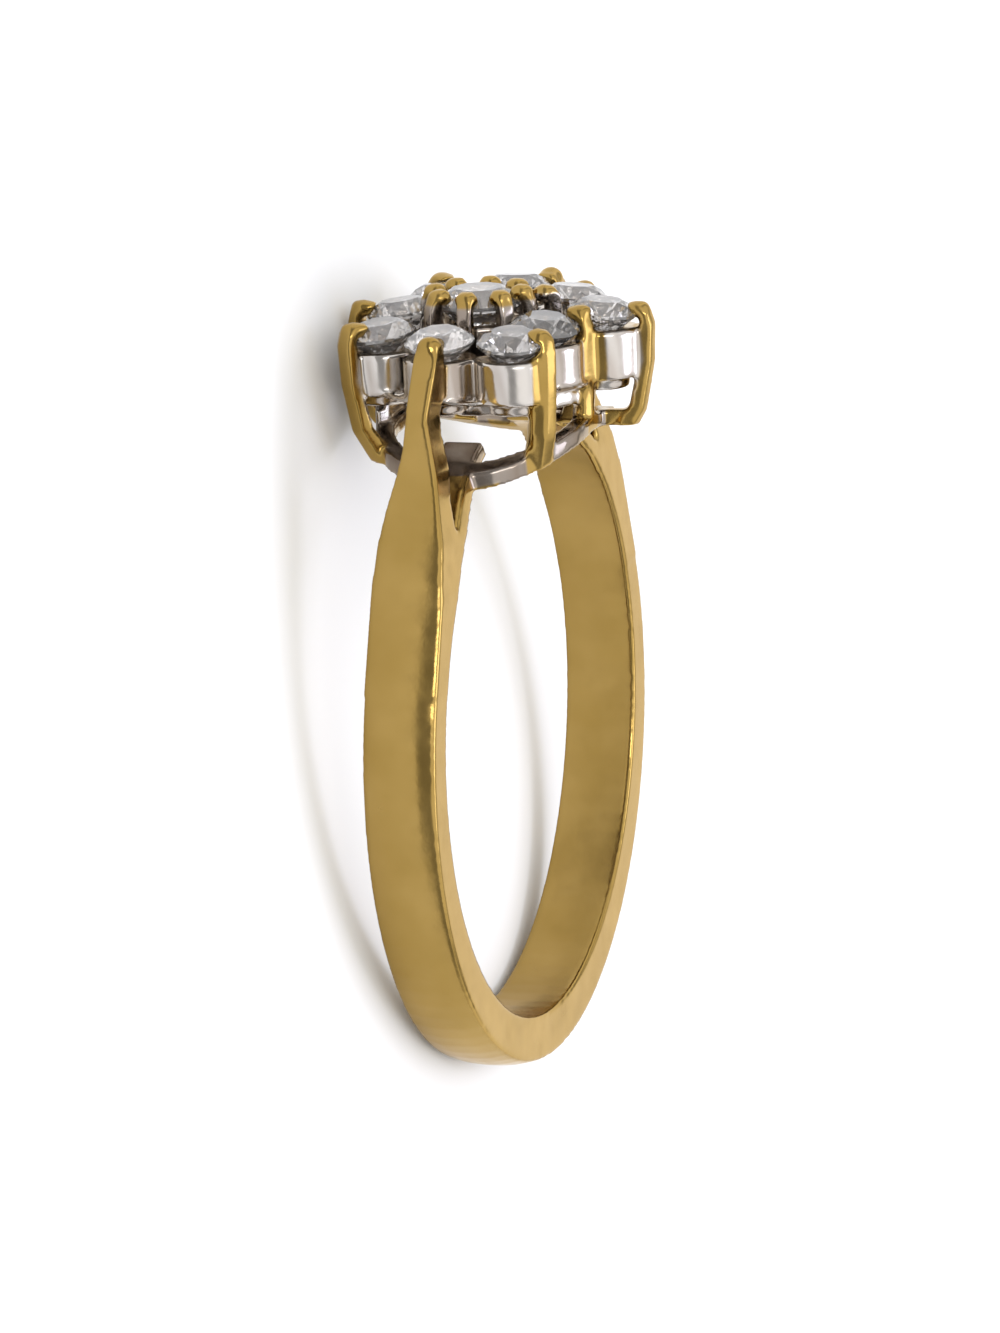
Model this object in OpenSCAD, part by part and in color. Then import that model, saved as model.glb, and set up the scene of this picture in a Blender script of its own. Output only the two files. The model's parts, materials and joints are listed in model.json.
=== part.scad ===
// Cluster ring: a slim band whose split shoulders carry a raised stone ringed by nine smaller ones.
// Drawn upright, with the head up along +Z and the finger hole along Y, then laid on its side.

/* [Band] */
// Radius of the finger hole
finger_r = 8.5; // [8:0.05:9.5]
// Thickness of the band
band_t = 1.1; // [0.9:0.05:1.4]
// Width of the band at the bottom
band_w = 2.1; // [1.8:0.05:2.8]
// How much thicker the band is at the bottom than at its sides
band_sag = 0.2; // [0:0.05:0.3]
// How much lower the edges of the outer face lie than its middle
dome_drop = 0.04; // [0.02:0.01:0.1]

/* [Shoulders] */
// Angle above the horizontal at which the shoulder leaves the round band
leave_angle = 22; // [18:1:28]
// Angle above the horizontal at which the shoulder splits into two arms
split_angle = 47.5; // [44:0.5:50]
// Width of the upper arm where it becomes a claw
arm_w = 0.68; // [0.6:0.02:0.9]
// Thickness of the upper arm halfway up
arm_t = 1.1; // [0.9:0.05:1.2]
// Depth of the split from the finger hole, as a share of the band's thickness
split_share = 0.6; // [0.5:0.05:0.7]
// How far the shoulder stands proud of the band where they meet
lap = 0.015; // [0.01:0.005:0.03]
// Sideways shift of the upper arm's tip, from the slight turn of the head
arm_shift = 0.33; // [0.2:0.01:0.45]

/* [Head] */
// How much higher the head stands over the far shoulder
far_rise = 0.3; // [0:0.05:0.35]
// Turn of the stone ring about the head's axis
head_turn = -8; // [-12:1:0]
// Thickness of the curved base rail
rail_t = 0.45; // [0.35:0.05:0.6]
// Half width of the base rail across the finger
rail_r = 3.05; // [2.9:0.05:3.3]
// Half length of the straight stretch of the base rail
rail_run = 1.1; // [0.6:0.05:1.3]
// Width of the base rail
rail_w = 0.55; // [0.45:0.05:0.75]
// Height of the gallery plate's underside over the finger hole
plate_h = 0.85; // [0.75:0.05:0.95]
// Thickness of the gallery plate
plate_t = 0.36; // [0.3:0.02:0.45]
// Height of the collets' undersides over the finger hole
collet_h = 1.38; // [1.3:0.02:1.5]
// Thickness of the pierced wall between the base rail and the plate
wall_t = 0.36; // [0.3:0.02:0.45]
// Height of the windows in that wall
window_h = 0.95; // [0.8:0.05:1]

/* [Stones] */
// Girdle diameter of an outer stone
outer_d = 2.0; // [1.9:0.05:2.1]
// Mean gap between outer stones
stone_gap = 0.2; // [0.15:0.05:0.35]
// Height of the outer girdles over the finger hole
outer_h = 3.0; // [2.85:0.05:3.2]
// Outward lean of the outer stones
outer_lean = 7; // [0:1:12]
// Girdle diameter of the centre stone
centre_d = 2.5; // [2.3:0.05:2.6]
// Height of the centre stone's girdle over the finger hole
centre_h = 3.54; // [3.4:0.02:3.7]
// Sideways place of the centre stone
centre_y = -0.35; // [-0.5:0.05:-0.2]
// Table width as a share of a stone's diameter
table_share = 0.57; // [0.5:0.01:0.64]
// Crown height as a share of a stone's diameter
crown_share = 0.16; // [0.12:0.01:0.18]
// Pavilion depth as a share of a stone's diameter
pavilion_share = 0.43; // [0.4:0.01:0.46]
// Girdle thickness as a share of a stone's diameter
girdle_share = 0.04; // [0.02:0.01:0.06]
// Clearance between a stone and its seat
seat_gap = 0.03; // [0.02:0.01:0.06]

/* [Claws and collets] */
// Width of an outer claw
claw_w = 0.76; // [0.6:0.02:0.9]
// Thickness of an outer claw
claw_t = 0.48; // [0.36:0.02:0.6]
// Rise of the claw tips over the outer girdles
claw_rise = 0.34; // [0.28:0.02:0.5]
// Width of an inner claw
prong_w = 0.44; // [0.3:0.02:0.5]
// Rise of the inner claw tips over the centre girdle
prong_rise = 0.4; // [0.3:0.02:0.5]
// How far a collet's wall stands outside its stone's girdle
collet_lip = 0.05; // [0.02:0.01:0.1]
// Drop of the collet rims below the outer girdles
rim_drop = 0.42; // [0.35:0.02:0.55]
// Radius of the light hole under an outer stone
light_r = 0.5; // [0.4:0.05:0.6]

/* [Hidden] */
gold = "goldenrod";
crystal = "lightcyan";
$fn = 32;

// Outer stones, round from the near shoulder: azimuth in the turned head,
// distance from the axis as a share of cluster_r, rise over outer_h as a share of outer_d
AZ = 0;
DIST = 1;
RISE = 2;
OUTER = [
    [359.3, 0.988, 0.00],
    [ 36.0, 1.074, 0.00],
    [ 71.1, 0.659, -0.03],
    [113.3, 0.977, 0.00],
    [153.8, 0.918, 0.00],
    [193.2, 1.006, 0.04],
    [231.0, 1.003, 0.00],
    [271.2, 0.870, 0.00],
    [315.6, 1.020, -0.04],
];

// Outer claws: azimuth of the post, distance of its inner face, azimuth and distance of its foot,
// reach of the tip inward, all distances as shares of cluster_r, rise as a share of outer_d,
// and the share of the way to the post that a spur of the rail runs out to it, 0 for none
POST = 1;
FOOT_AZ = 2;
FOOT = 3;
REACH = 4;
TIP_RISE = 5;
SPUR = 6;
CLAWS = [
    [ 46.2, 1.225,  44, 1.12, 0.15,  0.00, 0.00],
    [ 93.5, 0.830,  80, 0.90, 0.09,  0.00, 0.00],
    [112.1, 1.300, 106, 1.00, 0.15, -0.08, 0.68],
    [165.0, 1.235, 163, 0.95, 0.12, -0.13, 0.00],
    [226.1, 1.300, 222, 1.00, 0.17,  0.00, 0.00],
    [278.0, 1.190, 272, 0.86, 0.13, -0.02, 0.68],
    [320.0, 1.318, 330, 1.10, 0.13,  0.00, 0.00],
];

// Inner claws: azimuth round the centre stone, distance as a share of its radius, rise as a share of its diameter
PRONGS = [for (i = [0 : 7]) [3 + 45 * i, 1, 0]];
SIDE_PRONG = [124, 1.55, -0.08];

cluster_r = (outer_d + stone_gap) / (2 * sin(180 / len(OUTER)));
band_r = finger_r + band_t;
rail_top_r = finger_r + rail_t;
plate_z = finger_r + plate_h;
collet_z = finger_r + collet_h;
window_top = rail_top_r + window_h;
outer_z = finger_r + outer_h;
centre_z = finger_r + centre_h;
rim_z = outer_z - rim_drop;
tip_z = outer_z + claw_rise;
collet_r = outer_d / 2 + collet_lip;
centre_collet_r = centre_d * 0.48;
plate_r = cluster_r * 0.89;
far = finger_r * 4;

// The lowest claw and the band's bottom edge carry the ring as it lies
low_claw = CLAWS[5];
low_reach = low_claw[POST] * cluster_r + claw_t;
rest_tilt = atan((low_reach - band_w / 2) / (rim_z + band_r));

// The head leans, so what stands at x is raised by this much
function lift(x) = far_rise * (1 - x / cluster_r) / 2;
function stone_lift(s) = lift(s[DIST] * cluster_r * cos(s[AZ] + head_turn)) + s[RISE] * outer_d;
function on_band(a) = polar(band_r + lap, a) - [0, band_sag];
function polar(r, a) = [r * cos(a), r * sin(a)];
function unit(v) = v / norm(v);
function mix(a, b, t) = a + (b - a) * t;
function arc(r, a0, a1, n) = [for (i = [0 : n]) polar(r, mix(a0, a1, i / n))];

module lay() {
    rotate([90 - rest_tilt, 0, 0]) children();
}

module turned() {
    rotate([0, 0, head_turn]) children();
}

// Sweeps a section of (side, out) points along a path, with its side edge kept level
module sweep(path, sections, side) {
    n = len(sections[0]);
    last = len(path) - 1;
    rings = [for (i = [0 : last])
        let (along = unit(path[min(i + 1, last)] - path[max(i - 1, 0)]), out = cross(side, along))
        each [for (p = sections[i]) path[i] + side * p[0] + out * p[1]]];
    walls = [for (i = [0 : last - 1], j = [0 : n - 1])
        let (a = i * n + j, b = i * n + (j + 1) % n)
        each [[a, b, a + n], [b, b + n, a + n]]];
    foot = [for (j = [n - 1 : -1 : 0]) j];
    tip = [for (j = [0 : n - 1]) last * n + j];
    polyhedron(rings, concat(walls, [foot, tip]), convexity = 4);
}

// Claw section with a ridge down its outer face
function ridged(w, t) = [
    [-w / 2, -t / 2], [w / 2, -t / 2], [w / 2, t * 0.22], [0, t / 2], [-w / 2, t * 0.22]
];

function squared(w, t) = [[-w / 2, -t / 2], [w / 2, -t / 2], [w / 2, t / 2], [-w / 2, t / 2]];

// Band and shoulders

module band_section() {
    half = band_w / 2;
    inner = finger_r - band_t / 2;
    polygon([[inner, -half], [band_r - dome_drop, -half], [band_r, -half / 2],
             [band_r, half / 2], [band_r - dome_drop, half], [inner, half]]);
}

module band() {
    difference() {
        translate([0, 0, -band_sag]) rotate([90, 0, 0]) rotate_extrude($fn = 180) band_section();
        translate([-far / 2, -far / 2, on_band(leave_angle)[1]]) cube([far, far, far]);
    }
}

// Side view of one upper arm: the outer edge rises straight from the band and bends in over the stone
function arm_outer(top) = [
    on_band(leave_angle - 4),
    on_band(leave_angle),
    [finger_r * 0.947, finger_r * 0.68],
    [finger_r * 0.853, finger_r * 0.86],
    [finger_r * 0.747, finger_r * 1.065],
    [finger_r * 0.676, finger_r * 1.182],
    [cluster_r + arm_t * 1.73, top - arm_t * 0.77],
    [cluster_r + arm_t * 1.44, top - arm_t * 0.33],
    [cluster_r + arm_t * 1.18, top - arm_t * 0.09],
    [cluster_r + arm_t * 0.91, top],
    [cluster_r + arm_t * 0.64, top - arm_t * 0.04],
];

function arm_inner(top) = [
    [cluster_r + arm_t * 0.6, top - arm_t * 0.18],
    [cluster_r + arm_t * 0.84, top - arm_t * 0.55],
    [cluster_r + arm_t * 0.86, collet_z + arm_t * 0.27],
    [finger_r * 0.724 - arm_t, finger_r * 1.094],
    [finger_r * 0.765 - arm_t, finger_r * 0.976],
    [finger_r * 0.824 - arm_t, finger_r * 0.9],
    split_point(),
];

function split_point() = polar(finger_r + band_t * split_share, split_angle);

module side_view(top) {
    polygon(concat(arm_outer(top), arm_inner(top), arc(finger_r - band_t / 4, split_angle, leave_angle - 4, 6)));
    lower_arm_view();
}

// The lower arm thins as it runs along the finger hole to the base rail
module lower_arm_view() {
    steps = 7;
    last = 74;
    polygon(concat(
        [for (i = [0 : steps])
            polar(finger_r + mix(band_t * split_share, rail_t * 0.9, i / steps), mix(split_angle - 1, last, i / steps))],
        arc(finger_r - band_t / 4, last, split_angle - 6, 8)));
}

// Front view of one shoulder. Columns: height as a share of finger_r,
// left edge and right edge as shares of half the band's width
FRONT = [
    [-0.10, -1.00, 1.00],
    [ 0.35, -1.00, 1.00],
    [ 0.62, -1.00, 0.98],
    [ 0.78, -0.96, 0.84],
    [ 0.89, -0.83, 0.62],
    [ 1.00, -0.65, 0.40],
    [ 1.07, -0.57, 0.22],
];

module front_view(top) {
    half = band_w / 2 + lap;
    right = [for (f = FRONT) [half * f[2], finger_r * f[0]]];
    left = [for (i = [len(FRONT) - 1 : -1 : 0]) [half * FRONT[i][1], finger_r * FRONT[i][0]]];
    polygon(concat(right, [
        [arm_w * 0.44 - arm_shift, finger_r * 1.153],
        [arm_w * 0.5 - arm_shift, top - arm_t * 0.55],
        [arm_w * 0.46 - arm_shift, top - arm_t * 0.2],
        [arm_w * 0.28 - arm_shift, top + arm_t * 0.05],
        [-arm_w * 0.28 - arm_shift, top + arm_t * 0.05],
        [-arm_w * 0.48 - arm_shift, top - arm_t * 0.2],
        [-arm_w * 0.52 - arm_shift, top - arm_t * 0.55],
        [-arm_w * 0.48 - arm_shift, finger_r * 1.153]], left));
}

module shoulder(top) {
    intersection() {
        rotate([90, 0, 0]) linear_extrude(band_w * 2, center = true) side_view(top);
        rotate([90, 0, 90]) linear_extrude(far) front_view(top);
    }
}

// The far shoulder is the near one turned half round, a little taller
module shoulders() {
    shoulder(tip_z);
    rotate([0, 0, 180]) shoulder(tip_z + far_rise);
}

// Head

module rail_outline(r) {
    for (s = [-1, 1]) translate([s * rail_run, 0]) circle(r);
    square([2 * rail_run, 2 * r], center = true);
}

// A spur of the rail runs out to the foot of a claw that stands off it
module rail_spur(c) {
    start = rail_r - rail_w / 2;
    reach = mix(c[FOOT] * cluster_r - claw_t / 2, c[POST] * cluster_r + claw_t / 2, c[SPUR]);
    width = claw_w * 0.8;
    rotate([0, 0, mix(c[FOOT_AZ], c[AZ], c[SPUR]) + head_turn])
        translate([start, -width / 2]) square([reach - start, width]);
}

// The rail is a flat oval hoop bent to the finger hole's curve
module base_rail() {
    intersection() {
        translate([0, 0, finger_r / 2]) linear_extrude(finger_r) {
            difference() {
                rail_outline(rail_r);
                rail_outline(rail_r - rail_w);
            }
            for (c = CLAWS) if (c[SPUR] > 0) rail_spur(c);
        }
        rotate([90, 0, 0]) cylinder(r = rail_top_r, h = far, center = true, $fn = 180);
    }
}

// Windows in the wall: azimuth and width, as seen from the head's axis
WINDOWS = [[2, 54], [322, 32], [60, 28], [112, 38], [165, 60], [243, 24]];

module window_cut(w) {
    half = (rail_run + rail_r) * tan(w[1] / 2);
    corner = window_h * 0.3;
    low = finger_r * 0.9;
    sill = finger_r;
    rotate([90, 0, 90 + w[0]]) linear_extrude(far) {
        for (s = [-1, 1]) translate([s * (half - corner), window_top - corner]) circle(corner);
        polygon([
            [corner - half, low], [corner - half, sill], [-half, sill + corner],
            [-half, window_top - corner], [corner - half, window_top], [half - corner, window_top],
            [half, window_top - corner], [half, sill + corner], [half - corner, sill], [half - corner, low]]);
    }
}

// The pierced wall stands on the rail's outline, and the windows leave round-topped openings above the rail
module gallery_wall() {
    difference() {
        translate([0, 0, finger_r * 0.8]) linear_extrude(collet_z + plate_t * 0.3 - finger_r * 0.8) difference() {
            rail_outline(rail_r);
            rail_outline(rail_r - wall_t);
        }
        for (w = WINDOWS) window_cut(w);
    }
}

// A claw rises from the rail, leans out to the stone's edge and bends over it.
// Columns: share of the way from foot to post, share of the height, width share, thickness share
RISE_STEPS = [
    [0.00, 0.00, 0.90, 1.25],
    [0.42, 0.19, 0.98, 1.20],
    [0.76, 0.36, 1.00, 1.10],
    [0.95, 0.64, 1.00, 1.00],
    [1.00, 0.88, 1.00, 0.95],
];
// Columns: share of the tip's reach, share of the height, width share, thickness share
TIP_STEPS = [
    [0.10, 0.950, 0.98, 0.86],
    [0.45, 0.990, 0.88, 0.68],
    [1.00, 0.985, 0.62, 0.42],
];

module claw(c) {
    post = concat(polar(c[POST] * cluster_r + claw_t / 2, c[AZ]), 0);
    foot = concat(polar(c[FOOT] * cluster_r - claw_t / 2, c[FOOT_AZ]), 0);
    inward = concat(-polar(c[REACH] * cluster_r + claw_t / 2, c[AZ]), 0);
    low = finger_r * 0.86;
    high = tip_z + lift(c[POST] * cluster_r * cos(c[AZ] + head_turn)) + c[TIP_RISE] * outer_d;
    path = concat(
        [for (s = RISE_STEPS) mix(foot, post, s[0]) + [0, 0, mix(low, high, s[1])]],
        [for (s = TIP_STEPS) post + inward * s[0] + [0, 0, mix(low, high, s[1])]]);
    steps = concat(RISE_STEPS, TIP_STEPS);
    sections = [for (s = steps) ridged(claw_w * s[2], claw_t * s[3])];
    sweep(path, sections, [-sin(c[AZ]), cos(c[AZ]), 0]);
}

// An inner claw stands on the plate and bends over the centre stone
module prong(p) {
    r = centre_d / 2;
    at = r * p[1];
    top = centre_z + prong_rise + p[2] * centre_d;
    path = [
        [at + prong_w * 0.5, 0, plate_z],
        [at + prong_w * 0.55, 0, centre_z - prong_rise * 0.9],
        [at + prong_w * 0.48, 0, centre_z + prong_rise * 0.05],
        [at + prong_w * 0.23, 0, top - prong_rise * 0.3],
        [at - prong_w * 0.18, 0, top - prong_rise * 0.05],
        [at - prong_w * 0.6, 0, top - prong_rise * 0.15],
    ];
    widths = [1.1, 1.0, 1.0, 1.0, 0.9, 0.66];
    depths = [1.14, 1.05, 0.95, 0.91, 0.77, 0.45];
    sections = [for (i = [0 : len(path) - 1]) squared(prong_w * widths[i], prong_w * depths[i])];
    rotate([0, 0, p[AZ]]) sweep(path, sections, [0, 1, 0]);
}

module outer_place(s) {
    turned() rotate([0, 0, s[AZ]]) translate([s[DIST] * cluster_r, 0, outer_z + stone_lift(s)])
        rotate([0, outer_lean, 0]) children();
}

module centre_place() {
    translate([0, centre_y, centre_z]) children();
}

// Each collet is a short cup on a narrower foot, and the plate joins them all
module collet(rim) {
    foot_r = collet_r * 0.72;
    translate([0, 0, collet_z]) cylinder(r = collet_r, h = rim - collet_z);
    translate([0, 0, plate_z + plate_t / 2]) cylinder(r1 = foot_r * 0.9, r2 = foot_r, h = collet_z - plate_z);
}

module collets() {
    turned() for (s = OUTER)
        rotate([0, 0, s[AZ]]) translate([s[DIST] * cluster_r, 0, 0]) collet(rim_z + stone_lift(s));
    translate([0, centre_y, plate_z]) cylinder(r = centre_collet_r, h = centre_z - plate_z - centre_d * 0.2);
    translate([0, 0, plate_z]) cylinder(r = plate_r, h = plate_t);
}

module light_holes() {
    low = plate_z - plate_t / 4;
    turned() for (s = OUTER)
        rotate([0, 0, s[AZ]]) translate([s[DIST] * cluster_r, 0, low]) cylinder(r = light_r, h = outer_z - low);
    translate([0, centre_y, low]) cylinder(r = centre_d * 0.3, h = centre_z - low);
}

// A seat is the stone's outline, turned and let out by the clearance
module seat(d) {
    r = d / 2 + seat_gap;
    girdle = d * girdle_share / 2 + seat_gap;
    rotate_extrude() polygon([
        [0, -d * (pavilion_share + girdle_share / 2) - 2 * seat_gap], [r, -girdle], [r, girdle],
        [d / 2 * table_share + 1.5 * seat_gap, d * (crown_share + girdle_share / 2) + seat_gap],
        [0, d * (crown_share + girdle_share / 2) + seat_gap]]);
}

module seats() {
    for (s = OUTER) outer_place(s) seat(outer_d);
    centre_place() seat(centre_d);
}

module finger_hole() {
    rotate([90, 0, 0]) cylinder(r = finger_r, h = far, center = true, $fn = 180);
}

// Everything that is soldered to the band, with the seats cut
module setting() {
    difference() {
        union() {
            shoulders();
            base_rail();
            gallery_wall();
            turned() for (c = CLAWS) claw(c);
            collets();
            translate([0, centre_y, 0]) for (p = concat(PRONGS, [SIDE_PRONG])) prong(p);
        }
        light_holes();
        seats();
    }
}

// The band and the finger hole are true curves, and what is soldered to them is one faceted body
module ring_mount() {
    color(gold) lay() difference() {
        union() {
            band();
            resize([0, 0, 0]) setting();
        }
        finger_hole();
    }
}

// A round brilliant: table, eight stars, eight kites, sixteen upper halves, girdle,
// sixteen lower halves and eight mains
module brilliant(d) {
    r = d / 2;
    half = d * girdle_share / 2;
    top = half + d * crown_share;
    base = -half - d * pavilion_share;
    table_r = r * table_share;
    star_r = r * 0.8;
    star_z = mix(top, half, (star_r * cos(22.5) - table_r) / (r - table_r));
    low_r = r * 0.24;
    low_z = mix(base, -half, low_r * cos(22.5) / r);
    points = concat(
        [for (k = [0 : 7]) concat(polar(table_r, 45 * k), top)],
        [for (k = [0 : 7]) concat(polar(star_r, 45 * k + 22.5), star_z)],
        [for (m = [0 : 15]) concat(polar(r, 22.5 * m), half)],
        [for (m = [0 : 15]) concat(polar(r, 22.5 * m), -half)],
        [for (k = [0 : 7]) concat(polar(low_r, 45 * k + 22.5), low_z)],
        [[0, 0, base]]);
    star = 8;
    up = 16;
    down = 32;
    low = 48;
    culet = 56;
    faces = concat(
        [[for (k = [7 : -1 : 0]) k]],
        [for (k = [0 : 7]) [k, (k + 1) % 8, star + k]],
        [for (k = [0 : 7]) each [[k, star + k, up + 2 * k], [k, up + 2 * k, star + (k + 7) % 8]]],
        [for (k = [0 : 7]) each [[star + k, up + 2 * k + 1, up + 2 * k],
                                 [star + k, up + (2 * k + 2) % 16, up + 2 * k + 1]]],
        [for (m = [0 : 15]) each [[up + m, up + (m + 1) % 16, down + m],
                                  [up + (m + 1) % 16, down + (m + 1) % 16, down + m]]],
        [for (k = [0 : 7]) each [[low + k, down + 2 * k, down + 2 * k + 1],
                                 [low + k, down + 2 * k + 1, down + (2 * k + 2) % 16]]],
        [for (k = [0 : 7]) each [[culet, low + (k + 7) % 8, down + 2 * k], [culet, down + 2 * k, low + k]]]);
    polyhedron(points, faces, convexity = 2);
}

module centre_stone() {
    color(crystal) lay() centre_place() brilliant(centre_d);
}

module outer_stone(i) {
    color(crystal) lay() outer_place(OUTER[i]) brilliant(outer_d);
}

ring_mount();
centre_stone();
outer_stone(0);  // outer_stone_1
outer_stone(1);  // outer_stone_2
outer_stone(2);  // outer_stone_3
outer_stone(3);  // outer_stone_4
outer_stone(4);  // outer_stone_5
outer_stone(5);  // outer_stone_6
outer_stone(6);  // outer_stone_7
outer_stone(7);  // outer_stone_8
outer_stone(8);  // outer_stone_9
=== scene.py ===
import json
import math

import bmesh
import bpy
import numpy as np
from mathutils import Matrix, Vector


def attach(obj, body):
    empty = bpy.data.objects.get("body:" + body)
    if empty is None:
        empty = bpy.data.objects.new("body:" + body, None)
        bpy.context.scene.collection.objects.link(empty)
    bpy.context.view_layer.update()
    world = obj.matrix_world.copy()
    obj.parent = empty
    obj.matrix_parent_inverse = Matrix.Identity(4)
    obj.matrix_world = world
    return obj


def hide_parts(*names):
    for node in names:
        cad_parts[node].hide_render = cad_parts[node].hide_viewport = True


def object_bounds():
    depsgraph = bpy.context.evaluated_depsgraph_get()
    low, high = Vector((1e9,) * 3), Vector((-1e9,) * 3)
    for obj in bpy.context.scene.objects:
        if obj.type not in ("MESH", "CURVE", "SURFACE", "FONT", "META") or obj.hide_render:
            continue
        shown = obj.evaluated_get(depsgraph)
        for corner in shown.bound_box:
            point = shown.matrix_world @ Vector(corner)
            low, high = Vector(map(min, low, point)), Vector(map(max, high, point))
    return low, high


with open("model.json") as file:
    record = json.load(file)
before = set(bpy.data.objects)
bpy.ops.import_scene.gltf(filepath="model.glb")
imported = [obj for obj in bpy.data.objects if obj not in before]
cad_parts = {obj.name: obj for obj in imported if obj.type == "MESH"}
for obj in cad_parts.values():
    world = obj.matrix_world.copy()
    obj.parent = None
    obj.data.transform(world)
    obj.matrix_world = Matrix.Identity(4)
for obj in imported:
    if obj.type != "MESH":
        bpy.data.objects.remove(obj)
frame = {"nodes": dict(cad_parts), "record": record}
cad_low, cad_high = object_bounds()

# The design stands upright in millimetres, with the head along +Z and the finger hole along +Y.
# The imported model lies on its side, so everything made here is turned the same way.
MM = 0.001
BORE = next(m for m in frame["record"]["mounts"] if m["name"] == "finger_bore")
FINGER_R = BORE["dims"]["r_mm"]
REST_TILT = math.asin(BORE["axis"][1])
LAY = Matrix.Rotation(math.pi / 2 - REST_TILT, 3, "X")

# Camera, measured against the upright ring
PHOTO_W, PHOTO_H = 1000, 1333
CAM_AZIMUTH, CAM_ELEVATION, CAM_ROLL = 18.95, 13.5, 2.5
CAM_DISTANCE = 243.3
FOCAL_PX = 8536
CENTRE_PX = (508.7, 717.6)
SENSOR = 36.0
CLIP = (0.01, 10)

# Metal surface: the voxel size and passes that soften it, and the passes that polish its shading
VOXEL = 0.055
SOFTEN_PASSES = 8
SOFTEN_FACTOR = 0.5
POLISH_ALL = 2
POLISH_PASSES = 60

# Band, and the bulge of its outer face: where it starts, as shares of the band's thickness,
# and the heights between which it dies out under the head
BAND_T = 1.1
BAND_W = 2.1
DOME = 0.12
DOME_SKIN = (0.5, 0.95)
DOME_END = (6.4, 8.2)

# Where a shoulder meets the band, polished over: heights, and the share of the band's width
SEAM_START = (0.6, 1.8)
SEAM_END = (4.2, 5.4)
SEAM_SHARE = 0.42

# Head, in millimetres over the bore's axis
HEAD_TURN = -8.0
RAIL_R = 3.05
RAIL_RUN = 1.1
TIP_Z = 11.84
FAR_RISE = 0.3
CLUSTER_R = 3.216
CENTRE_Y = -0.35
CENTRE_GIRDLE = 12.04
CENTRE_R = 1.25

# Upper arms: shift from the middle, heights over the bore's axis with the inner face's distances
# from the head's axis, half the width with its flare below a height, and the dome's place outside
# the ring of stones
ARM_SHIFT = 0.33
ARM_LEVELS = (8.3, 9.3, 10.2, 11.2, 11.6, 11.9)
ARM_FACE = (4.7, 4.5, 4.1, 4.05, 3.8, 3.6)
ARM_HALF = 0.56
ARM_FLARE = 0.55
ARM_FLARE_Z = 9.8
ARM_FLARE_RUN = 2
ARM_TIP = 1.18

# Outer claws: azimuth and radius of the post, azimuth and radius of the foot,
# radius of the tip, height of the tip over TIP_Z
AZ, POST_R, FOOT_AZ, FOOT_R, TIP_R, TIP_RISE = range(6)
CLAWS = [
    (46.2, 4.18, 44.0, 3.36, 3.46, 0.00),
    (93.5, 2.91, 80.0, 2.65, 2.38, 0.00),
    (112.1, 4.42, 106.0, 2.98, 3.70, -0.16),
    (165.0, 4.21, 163.0, 2.82, 3.59, -0.26),
    (226.1, 4.42, 222.0, 2.98, 3.63, 0.00),
    (278.0, 4.07, 272.0, 2.53, 3.41, -0.04),
    (320.0, 4.48, 330.0, 3.30, 3.82, 0.00),
]

# The line through a claw's metal: heights of its foot, knee and post, the knee's place between
# foot and post, how far the top is under the tip, and how far outside the radii each stop lies
FOOT_Z, KNEE_Z, POST_Z = 7.4, 9.0, 10.3
KNEE_SHARE = 0.76
TOP_DROP = 0.2
STOPS_OUT = (0.1, 0.1, 0.08, 0.0, -0.1)

# Inner claws: azimuth round the centre stone, radius, height of the tip over PRONG_Z
PRONG_Z = 12.44
PRONGS = [(3 + 45 * k, CENTRE_R, 0.0) for k in range(8)] + [(124, 1.94, -0.2)]

# Domes on the tips: radii outward, sideways and up, depth under the top, dip of the inner end.
# A claw's dome sits at DOME_SHARE of the way from its post to its tip.
CLAW_DOME = ((0.36, 0.35, 0.22), 0.14, 14)
ARM_DOME = ((0.42, 0.37, 0.34), 0.26, 20)
PRONG_DOME = ((0.35, 0.34, 0.24), 0.12, 14)
DOME_SHARE = 0.4

# White plating: each pair is where it starts and where it is full, by radius, side or height,
# by distance from a claw's line, and by height over the centre stone's girdle
PLATED_RADIUS = (8.58, 8.66)
PLATED_SIDE = (1.3, 1.4)
PLATED_FOOT = (6.9, 7.0)
PLATED_HEAD = (9.0, 9.1)
RAIL_MARGIN = 0.1
CLAW_EDGE = (0.42, 0.50)
ARM_EDGE = 0.08
ARM_SKIN = 0.05
PRONG_EDGE = (0.06, 0.16)
PRONG_REACH = 2.3

# Painted shade with some dirt in the gallery and in the gaps round the stones: how much, and the
# heights and distances from the centre stone between which it fades
GALLERY_SHADE_AND_DIRT = 0.70
GALLERY_TOP = (8.7, 9.4)
WELL_SHADE_AND_DIRT = 0.45
WELL_FLOOR = (9.4, 9.9)
WELL_RIM = (1.9, 3.0)

# The metal's pieces from the band's bottom up, each with an equal share of the faces
METAL_PIECES = ("band_metal", "shoulder_metal", "head_metal")

# Colours of the metal and the floor
GOLD = (0.37, 0.245, 0.074)
GOLD_DEEP = (0.31, 0.20, 0.052)
GOLD_EDGE = (1.0, 0.91, 0.76)
WHITE = (0.56, 0.53, 0.50)
WHITE_DEEP = (0.36, 0.31, 0.27)
# Dark colour for painted shade with some dirt in the gallery and the gaps round the stones
SHADE_AND_DIRT_COLOUR = (0.16, 0.12, 0.09)
FLOOR_DARK = (0.82, 0.82, 0.81)
FLOOR_PALE = (0.86, 0.86, 0.85)

# How clear each stone looks: the ones that stand in the shade of the centre stone are greyer
STONE_SHADE_TONE = {
    "centre_stone": 0.74,
    "outer_stone_1": 0.80,
    "outer_stone_2": 0.56,
    "outer_stone_3": 0.42,
    "outer_stone_4": 0.70,
    "outer_stone_6": 0.50,
    "outer_stone_9": 0.62,
}
OTHER_SHADE_TONE = 0.68

# The cast of every stone, as shares of its tone, and its index
STONE_GREEN, STONE_BLUE = 0.96, 0.93
STONE_INDEX = 2.1

FLOOR_HALF = 0.6

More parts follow.
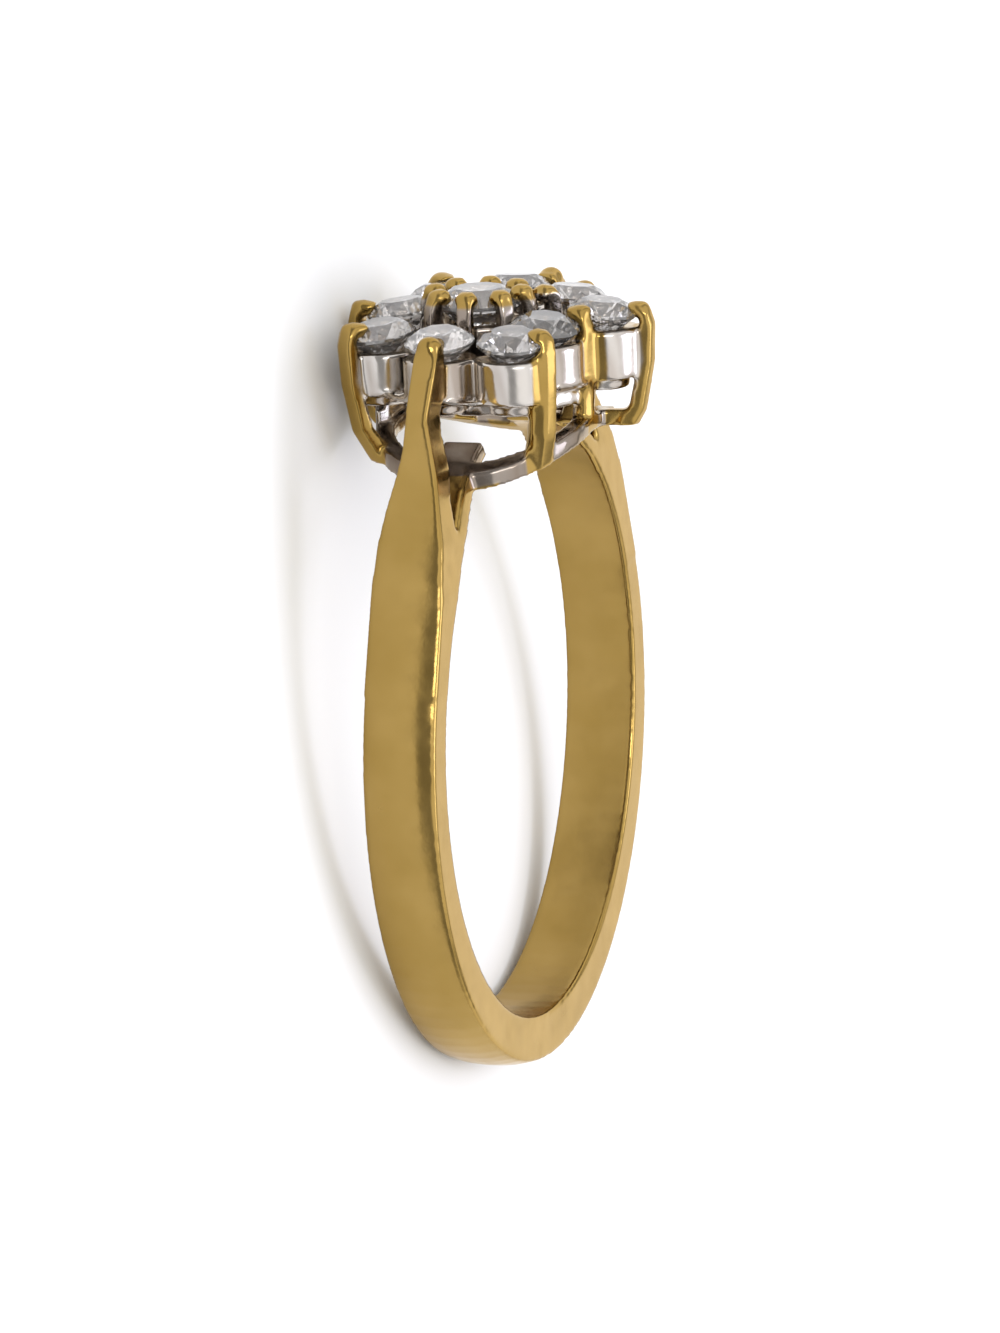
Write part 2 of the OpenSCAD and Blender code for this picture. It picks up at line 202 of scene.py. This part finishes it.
# Lamps: right, up and back of the camera's view in metres, size, watts, tint
LAMPS = {
    "overhead": ((0.26, 0.00, 0.06), (0.16, 0.16), 0.22, (0.95, 1.0, 1.25)),
    "front": ((0.10, 0.05, 0.40), (0.06, 0.20), 0.25, (1, 1, 1)),
}

# The studio round the ring: sine of the elevation, brightness. The camera's side has a dark gap
# under its soft box, and the side behind the ring is bright down to the horizon.
# LIGHT_TURN is where the one gives way to the other, and LIGHT_TOP is over the brightest value.
FRONT_LIGHT = [(0.0, 0.80), (0.08, 0.42), (0.36, 0.42), (0.46, 1.40), (0.80, 1.45), (0.90, 1.20)]
BACK_LIGHT = [(0.0, 1.25), (0.42, 1.60), (0.52, 0.50), (0.60, 0.55), (0.70, 1.35), (1.0, 1.20)]
LIGHT_TURN = (-0.25, 0.35)
LIGHT_TOP = 2.0
LIGHT_TINT = (1.0, 0.99, 0.98, 1)


def polar(radius, azimuth, height):
    a = math.radians(azimuth + HEAD_TURN)
    return np.array([radius * math.cos(a), radius * math.sin(a), height])


def lift(x):
    """The head stands a little higher over the far shoulder."""
    return FAR_RISE * (1 - x / CLUSTER_R) / 2


def claw_top(claw):
    x = claw[POST_R] * math.cos(math.radians(claw[AZ] + HEAD_TURN))
    return TIP_Z + lift(x) + claw[TIP_RISE]


def between(first, second, share):
    return (1 - share) * first + share * second


def to_ring(points):
    """Row frame in metres to the upright ring in millimetres."""
    return points @ np.array(LAY) / MM


def to_row(points):
    """The upright ring in millimetres to the row frame in metres."""
    return points @ np.array(LAY).T * MM


def smooth_step(value, low, high):
    t = np.clip((value - low) / (high - low), 0, 1)
    return t * t * (3 - 2 * t)


def mesh_points(mesh):
    points = np.empty(len(mesh.vertices) * 3)
    mesh.vertices.foreach_get("co", points)
    return points.reshape(-1, 3)


def new_mesh(name, points, faces):
    mesh = bpy.data.meshes.new(name)
    mesh.from_pydata([tuple(p) for p in points], [], [tuple(f) for f in faces])
    mesh.update()
    obj = bpy.data.objects.new(name, mesh)
    bpy.context.scene.collection.objects.link(obj)
    return obj


# Materials

class Shader:
    """A material's node tree, with short calls for its nodes and links."""

    def __init__(self, name):
        self.material = bpy.data.materials.new(name)
        self.material.use_nodes = True
        self.tree = self.material.node_tree
        self.main = self.tree.nodes["Principled BSDF"]

    def add(self, kind, **values):
        node = self.tree.nodes.new(kind)
        for key, value in values.items():
            setattr(node, key, value)
        return node

    def link(self, source, target):
        self.tree.links.new(source, target)

    def set(self, values):
        for socket, value in values.items():
            self.main.inputs[socket].default_value = value

    def attribute(self, name):
        return self.add("ShaderNodeAttribute", attribute_name=name).outputs["Fac"]

    def noise(self, scale, detail, stretch=(1, 1, 1)):
        """Noise in the object's own metres; a low stretch draws it out along an axis."""
        place = self.add("ShaderNodeTexCoord")
        spot = self.add("ShaderNodeMapping")
        spot.inputs["Scale"].default_value = stretch
        self.link(place.outputs["Object"], spot.inputs["Vector"])
        tex = self.add("ShaderNodeTexNoise")
        tex.inputs["Scale"].default_value = scale
        tex.inputs["Detail"].default_value = detail
        self.link(spot.outputs["Vector"], tex.inputs["Vector"])
        return tex.outputs["Fac"]

    def remap(self, source, low, high, to_low=0, to_high=1):
        node = self.add("ShaderNodeMapRange")
        sockets = ("From Min", "From Max", "To Min", "To Max")
        for socket, value in zip(sockets, (low, high, to_low, to_high)):
            node.inputs[socket].default_value = value
        self.link(source, node.inputs["Value"])
        return node.outputs["Result"]

    def mix(self, factor, first, second):
        node = self.add("ShaderNodeMix", data_type="RGBA")
        self.link(factor, node.inputs["Factor"])
        for value, socket in ((first, node.inputs["A"]), (second, node.inputs["B"])):
            if isinstance(value, tuple):
                socket.default_value = (*value, 1)
            else:
                self.link(value, socket)
        return node.outputs["Result"]

    def bump(self, height, strength, distance, below=None):
        node = self.add("ShaderNodeBump")
        node.inputs["Strength"].default_value = strength
        node.inputs["Distance"].default_value = distance
        self.link(height, node.inputs["Height"])
        if below is not None:
            self.link(below, node.inputs["Normal"])
        return node.outputs["Normal"]


def metal_material():
    """Polished gold with white plating, and painted shade with some dirt, where those two attributes
    say so.
    """
    s = Shader("plated_gold")
    s.set({"Metallic": 1.0, "Specular Tint": (*GOLD_EDGE, 1)})
    mottle = s.remap(s.noise(scale=420, detail=3.0), 0.35, 0.7)
    gold = s.mix(mottle, GOLD, GOLD_DEEP)
    streaks = s.remap(s.noise(scale=1100, detail=2.0, stretch=(1.0, 0.12, 1.0)), 0.42, 0.62)
    white = s.mix(streaks, WHITE, WHITE_DEEP)
    bright = s.mix(s.attribute("plating"), gold, white)
    # Painted shade with some dirt darkens the gallery and the gaps round the stones
    s.link(s.mix(s.attribute("shade_and_dirt"), bright, SHADE_AND_DIRT_COLOUR), s.main.inputs["Base Color"])
    haze = s.remap(s.noise(scale=1500, detail=4.0), 0.3, 0.75, to_low=0.11, to_high=0.28)
    s.link(haze, s.main.inputs["Roughness"])
    waves = s.bump(s.noise(scale=650, detail=1.5), strength=0.25, distance=0.00006)
    scratches = s.noise(scale=9000, detail=2.0, stretch=(0.05, 1.0, 1.0))
    worn = s.bump(scratches, strength=0.22, distance=0.000006, below=waves)
    s.link(worn, s.main.inputs["Normal"])
    return s.material


def stone_material(name, tone):
    """A stone of high index, greyed by its tone as painted shade, with a warm cast where it looks into
    its own facets.
    """
    s = Shader(name + "_clear")
    # The tone is painted shade: a stone in the centre stone's shade gets a lower tone
    s.set({"Base Color": (tone, tone * STONE_GREEN, tone * STONE_BLUE, 1)})
    s.set({"Transmission Weight": 0.9, "IOR": STONE_INDEX, "Roughness": 0.02})
    return s.material


def floor_material():
    s = Shader("pale_floor")
    tone = s.remap(s.noise(scale=6, detail=3.0), 0.3, 0.7)
    s.link(s.mix(tone, FLOOR_DARK, FLOOR_PALE), s.main.inputs["Base Color"])
    s.set({"Roughness": 0.7})
    return s.material


# Metal

def soft_metal():
    """The mount with its edges softened by casting and polishing, one closed mesh in millimetres."""
    source = frame["nodes"]["ring_mount"].data
    points = to_ring(mesh_points(source))
    faces = [tuple(p.vertices) for p in source.polygons]
    extra, extra_faces = worn_tips()
    faces += [tuple(v + len(points) for v in f) for f in extra_faces]
    work = new_mesh("work", np.concatenate([points, extra]), faces)
    remesh = work.modifiers.new("remesh", "REMESH")
    remesh.mode = "VOXEL"
    remesh.voxel_size = VOXEL
    soften = work.modifiers.new("soften", "SMOOTH")
    soften.factor = SOFTEN_FACTOR
    soften.iterations = SOFTEN_PASSES
    shown = work.evaluated_get(bpy.context.evaluated_depsgraph_get())
    done = shown.to_mesh()
    points = mesh_points(done)
    quads = np.empty(len(done.loops), dtype=np.int64)
    done.loops.foreach_get("vertex_index", quads)
    shown.to_mesh_clear()
    bpy.data.objects.remove(work)
    return domed(points), quads.reshape(-1, 4)


def domed(points):
    """The band's outer face bulges a little between its two arrises, as years of wear round it."""
    x, y, z = points.T
    radius = np.hypot(x, z)
    start, full = (FINGER_R + BAND_T * share for share in DOME_SKIN)
    outside = smooth_step(radius, start, full)
    below = 1 - smooth_step(z, *DOME_END)
    bulge = DOME * outside * below * np.clip(1 - (2 * y / BAND_W) ** 2, 0, 1)
    stretch = 1 + bulge / radius
    return np.stack([x * stretch, y, z * stretch], axis=1)


def worn_tips():
    """Domed tips of the claws, the two arms and the inner claws, as overlapping ellipsoids."""
    mesh = bmesh.new()
    for claw in CLAWS:
        radius = between(claw[POST_R], claw[TIP_R], DOME_SHARE)
        spot = polar(radius, claw[AZ], claw_top(claw))
        add_dome(mesh, spot, claw[AZ] + HEAD_TURN, *CLAW_DOME)
    for turn, rise in ((0, 0), (180, FAR_RISE)):
        side = math.cos(math.radians(turn))
        spot = ((CLUSTER_R + ARM_TIP) * side, -ARM_SHIFT * side, TIP_Z + rise)
        add_dome(mesh, spot, turn, *ARM_DOME)
    for azimuth, radius, rise in PRONGS:
        a = math.radians(azimuth)
        spot = (radius * math.cos(a), CENTRE_Y + radius * math.sin(a), PRONG_Z + rise)
        add_dome(mesh, spot, azimuth, *PRONG_DOME)
    points = np.array([v.co for v in mesh.verts])
    faces = [tuple(v.index for v in f.verts) for f in mesh.faces]
    mesh.free()
    return points, faces


def add_dome(mesh, spot, azimuth, radii, depth, dip):
    """An ellipsoid under a tip: radii run outward, sideways and up, and its inner end dips."""
    x, y, top = spot
    place = Matrix.Translation((x, y, top - depth))
    turn = Matrix.Rotation(math.radians(azimuth), 4, "Z") @ Matrix.Rotation(math.radians(-dip), 4, "Y")
    size = Matrix.Diagonal((*radii, 1))
    bmesh.ops.create_icosphere(mesh, subdivisions=3, radius=1, matrix=place @ turn @ size)
    mesh.verts.index_update()


def segment_distance(points, start, end):
    along = end - start
    share = np.clip((points - start) @ along / (along @ along), 0, 1)
    return np.linalg.norm(points - start - share[:, None] * along, axis=1)


def claw_distance(points, claw):
    """How far each point is from the line that runs from a claw's foot to its tip."""
    knee_r = between(claw[FOOT_R], claw[POST_R], KNEE_SHARE)
    knee_az = between(claw[FOOT_AZ], claw[AZ], KNEE_SHARE)
    top = claw_top(claw)
    line = (
        (claw[FOOT_R], claw[FOOT_AZ], FOOT_Z),
        (knee_r, knee_az, KNEE_Z),
        (claw[POST_R], claw[AZ], POST_Z),
        (claw[POST_R], claw[AZ], top - TOP_DROP),
        (claw[TIP_R], claw[AZ], top),
    )
    stops = [polar(radius + out, azimuth, z) for (radius, azimuth, z), out in zip(line, STOPS_OUT)]
    return np.min([segment_distance(points, *pair) for pair in zip(stops, stops[1:])], axis=0)


def plating(points):
    """0 on yellow gold, 1 on white plating: gallery and collets are white, claws and arms yellow."""
    x, y, z = points.T
    inside = np.hypot(np.maximum(np.abs(x) - RAIL_RUN, 0), y) < RAIL_R + RAIL_MARGIN
    rail = np.maximum(smooth_step(np.hypot(x, z), *PLATED_RADIUS), smooth_step(np.abs(y), *PLATED_SIDE))
    rail *= smooth_step(z, *PLATED_FOOT)
    white = np.maximum(rail * inside, smooth_step(z, *PLATED_HEAD))
    for claw in CLAWS:
        white *= smooth_step(claw_distance(points, claw), *CLAW_EDGE)
    face = np.interp(z, ARM_LEVELS, ARM_FACE) - ARM_SKIN
    half = ARM_HALF + np.clip(ARM_FLARE_Z - z, 0, ARM_FLARE_RUN) * ARM_FLARE
    for side in (1, -1):
        outward = smooth_step(x * side - face, 0, ARM_EDGE)
        across = smooth_step(half - np.abs(y + side * ARM_SHIFT), 0, ARM_EDGE)
        white *= 1 - outward * across
    start, full = (CENTRE_GIRDLE + rise for rise in PRONG_EDGE)
    prongs = smooth_step(z, start, full) * (np.hypot(x, y - CENTRE_Y) < PRONG_REACH)
    return white * (1 - prongs)


def shade_and_dirt_mask(points, white):
    """Painted shade, with some dirt where polish never reaches: the gallery under the collets, and the
    gaps between them.
    """
    x, y, z = points.T
    # Painted shade: darker under the collets and between them, where shade falls
    gallery = GALLERY_SHADE_AND_DIRT * white * (1 - smooth_step(z, *GALLERY_TOP))
    inner = 1 - smooth_step(np.hypot(x, y - CENTRE_Y), *WELL_RIM)
    well = WELL_SHADE_AND_DIRT * white * smooth_step(z, *WELL_FLOOR) * inner
    return np.maximum(gallery, well)


def unit(vectors):
    return vectors / np.maximum(np.linalg.norm(vectors, axis=1), 1e-12)[:, None]


def spread(face_vectors, quads, count):
    """Each point gets the sum of its faces' vectors, as a unit vector."""
    corners = quads.ravel()
    sums = [np.bincount(corners, np.repeat(face_vectors[:, k], 4), count) for k in range(3)]
    return unit(np.stack(sums, axis=1))


def vertex_normals(points, quads):
    """Normals of the whole surface, so its pieces shade as one, and a shoulder runs into the band."""
    a, b, c, d = (points[quads[:, k]] for k in range(4))
    normals = spread(np.cross(c - a, d - b), quads, len(points))
    x, y, z = points.T
    seam = smooth_step(z, *SEAM_START) * (1 - smooth_step(z, *SEAM_END))
    seam *= np.abs(y) < BAND_W * SEAM_SHARE
    for step in range(POLISH_PASSES):
        near = spread(normals[quads].sum(axis=1), quads, len(points))
        share = 1.0 if step < POLISH_ALL else seam[:, None]
        normals = unit(normals * (1 - share) + near * share)
    return normals


def metal_pieces(material):
    """The mount's surface in a few pieces, cut at two heights, that meet without a seam."""
    points, quads = soft_metal()
    white = plating(points)
    # The second attribute carries painted shade with some dirt
    paint = {"plating": white, "shade_and_dirt": shade_and_dirt_mask(points, white)}
    normals = vertex_normals(points, quads) @ np.array(LAY).T
    level = points[quads].mean(axis=1)[:, 2]
    cuts = np.quantile(level, np.arange(1, len(METAL_PIECES)) / len(METAL_PIECES))
    part = np.digitize(level, cuts)
    for k, name in enumerate(METAL_PIECES):
        used, faces = np.unique(quads[part == k], return_inverse=True)
        obj = new_mesh(name, to_row(points[used]), faces.reshape(-1, 4))
        obj.data.polygons.foreach_set("use_smooth", [True] * len(obj.data.polygons))
        for title, values in paint.items():
            layer = obj.data.attributes.new(title, "FLOAT", "POINT")
            layer.data.foreach_set("value", values[used])
        obj.data.normals_split_custom_set_from_vertices(normals[used].tolist())
        obj.data.materials.append(material)
        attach(obj, "root")
        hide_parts("ring_mount")


def dress_stones():
    """Each cut stone keeps its solid, flat-faced, and gets a tone of its own, which is painted shade.
    """
    for name, obj in frame["nodes"].items():
        if name == "ring_mount":
            continue
        obj.data.materials.clear()
        # Its tone is painted shade, lower for stones in the centre stone's shade
        obj.data.materials.append(stone_material(name, STONE_SHADE_TONE.get(name, OTHER_SHADE_TONE)))
        obj.data.shade_flat()


# Stage

def make_camera():
    """The camera at the photograph's place. Its turn is returned, as the lamps hang from it."""
    a, e, roll = (math.radians(v) for v in (CAM_AZIMUTH, CAM_ELEVATION, CAM_ROLL))
    back = Vector((math.cos(a) * math.cos(e), math.sin(a) * math.cos(e), math.sin(e)))
    level = Vector((-math.sin(a), math.cos(a), 0))
    above = back.cross(level)
    right = level * math.cos(roll) - above * math.sin(roll)
    up = level * math.sin(roll) + above * math.cos(roll)
    view = LAY @ Matrix((right, up, back)).transposed()
    data = bpy.data.cameras.new("camera")
    data.sensor_width = SENSOR
    data.lens = FOCAL_PX / PHOTO_H * SENSOR
    data.shift_x = (PHOTO_W / 2 - CENTRE_PX[0]) / PHOTO_H
    data.shift_y = (CENTRE_PX[1] - PHOTO_H / 2) / PHOTO_H
    data.clip_start, data.clip_end = CLIP
    camera = bpy.data.objects.new("camera", data)
    camera.matrix_world = Matrix.Translation(LAY @ back * CAM_DISTANCE * MM) @ view.to_4x4()
    bpy.context.scene.collection.objects.link(camera)
    bpy.context.scene.camera = camera
    return view


def make_floor():
    turns = ((-1, -1), (1, -1), (1, 1), (-1, 1))
    corners = [(x * FLOOR_HALF, y * FLOOR_HALF, cad_low.z) for x, y in turns]
    floor = new_mesh("floor", corners, [(0, 1, 2, 3)])
    floor.data.materials.append(floor_material())


def make_lamp(name, view, spot, size, power, tint):
    """A soft rectangular light at a place in the camera's right, up and back, aimed at the ring."""
    data = bpy.data.lights.new(name, "AREA")
    data.shape = "RECTANGLE"
    data.size, data.size_y = size
    data.energy = power
    data.color = tint
    lamp = bpy.data.objects.new(name, data)
    place = view @ Vector(spot)
    aim = (-place).to_track_quat("-Z", "Y").to_matrix().to_4x4()
    lamp.matrix_world = Matrix.Translation(place) @ aim
    bpy.context.scene.collection.objects.link(lamp)


def light_curve(tree, height, stops):
    """Brightness by height, as a share of LIGHT_TOP because a curve node ends at 1."""
    node = tree.nodes.new("ShaderNodeFloatCurve")
    curve = node.mapping.curves[0]
    curve.points[0].location = (0.0, stops[0][1] / LIGHT_TOP)
    curve.points[1].location = (1.0, stops[-1][1] / LIGHT_TOP)
    for level, power in stops[1:]:
        if level < 1:
            curve.points.new(level, power / LIGHT_TOP)
    for point in curve.points:
        point.handle_type = "VECTOR"
    node.mapping.update()
    tree.links.new(height, node.inputs["Value"])
    return node.outputs["Value"]


def make_studio():
    """The light all round: the two curves, blended from behind the ring to the camera's side."""
    world = bpy.data.worlds.new("studio")
    world.use_nodes = True
    tree = world.node_tree
    place = tree.nodes.new("ShaderNodeTexCoord")
    split = tree.nodes.new("ShaderNodeSeparateXYZ")
    tree.links.new(place.outputs["Generated"], split.inputs["Vector"])
    side = tree.nodes.new("ShaderNodeMapRange")
    side.interpolation_type = "SMOOTHSTEP"
    side.inputs["From Min"].default_value = LIGHT_TURN[0]
    side.inputs["From Max"].default_value = LIGHT_TURN[1]
    tree.links.new(split.outputs["X"], side.inputs["Value"])
    blend = tree.nodes.new("ShaderNodeMix")
    tree.links.new(side.outputs["Result"], blend.inputs["Factor"])
    for socket, stops in (("A", BACK_LIGHT), ("B", FRONT_LIGHT)):
        tree.links.new(light_curve(tree, split.outputs["Z"], stops), blend.inputs[socket])
    scale = tree.nodes.new("ShaderNodeMath")
    scale.operation = "MULTIPLY"
    scale.inputs[1].default_value = LIGHT_TOP
    tree.links.new(blend.outputs["Result"], scale.inputs[0])
    sky = tree.nodes["Background"]
    tree.links.new(scale.outputs["Value"], sky.inputs["Strength"])
    sky.inputs["Color"].default_value = LIGHT_TINT
    bpy.context.scene.world = world


view = make_camera()
make_floor()
for name, lamp in LAMPS.items():
    make_lamp(name, view, *lamp)
make_studio()
metal_pieces(metal_material())
dress_stones()
bpy.context.scene.view_settings.view_transform = "Standard"
